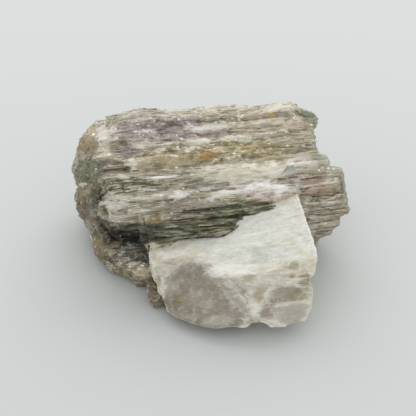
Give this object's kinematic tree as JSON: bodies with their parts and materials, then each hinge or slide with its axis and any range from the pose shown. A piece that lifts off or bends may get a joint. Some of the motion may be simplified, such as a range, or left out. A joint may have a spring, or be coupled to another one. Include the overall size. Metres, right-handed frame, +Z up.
{
  "type": "watermelon tourmaline specimen",
  "caption": "Rough hand specimen: a sheaf of parallel tourmaline crystals with a wedge of white feldspar grown on its front, broken by nature.",
  "frame": {"origin": "under the middle of the specimen's box, on the face that it rests on", "axes": "+X along the crystals' length, towards the stepped end, +Y to the back, +Z up; the feldspar is at -Y"},
  "size_m": [0.0808, 0.0656, 0.0403],
  "materials": {
    "tourmaline": "satin, fibrous along the crystals, with mica flakes",
    "feldspar": "satin, broken along cleavage"
  },
  "bodies": {
    "root": {"tourmaline_crystals": "tourmaline", "feldspar_block": "feldspar"}
  },
  "joints": []
}
